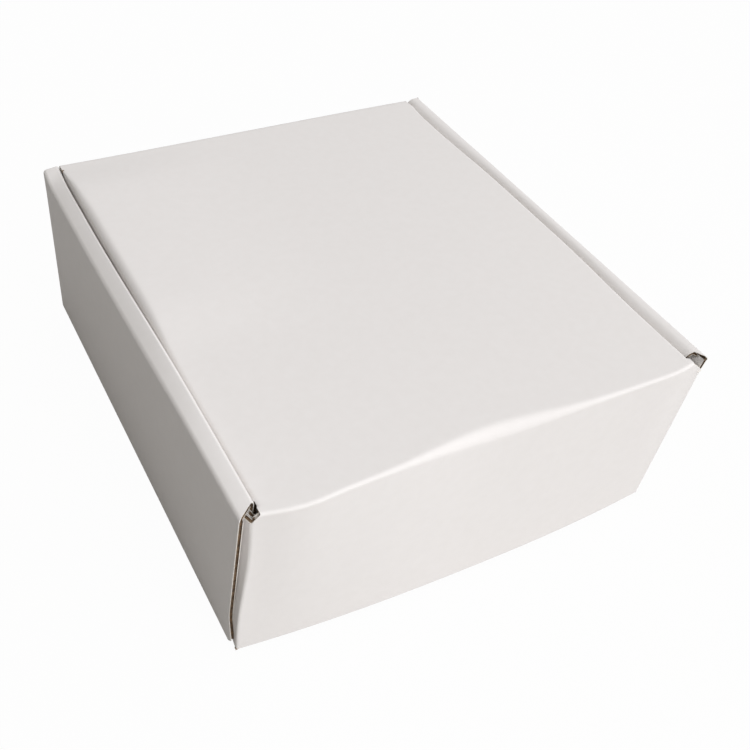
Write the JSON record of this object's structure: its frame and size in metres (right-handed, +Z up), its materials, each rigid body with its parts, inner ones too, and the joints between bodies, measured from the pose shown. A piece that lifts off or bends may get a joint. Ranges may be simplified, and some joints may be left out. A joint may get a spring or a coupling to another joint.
{
  "type": "corrugated mailer box",
  "caption": "Closed mailer box folded from corrugated board, with double side walls, a hinged lid with side wings, and a closure flap that hangs down over the front wall.",
  "frame": {"origin": "middle of the whole closed box in plan, on the surface that it stands on", "axes": "+Y from the closure flap towards the lid's hinge, +Z up, +X across the box to its right seen from the closure flap"},
  "size_m": [0.29, 0.3306, 0.12],
  "materials": {
    "white_board": "uncoated white paper face, matt, with brown fluting at the cut edges"
  },
  "bodies": {
    "tray": {"tray": "white_board"},
    "lid": {"lid": "white_board"},
    "closure_flap": {"closure_flap": "white_board"}
  },
  "joints": [
    {"name": "lid_hinge", "type": "hinge", "parent": "tray", "child": "lid", "pos_m": [0, 0.164, 0.11625], "axis": [-1, 0, 0], "range_deg": [0, 120]},
    {"name": "flap_crease", "type": "hinge", "parent": "lid", "child": "closure_flap", "pos_m": [0, -0.1585, 0.11625], "axis": [-1, 0, 0], "range_deg": [0, 90]}
  ]
}
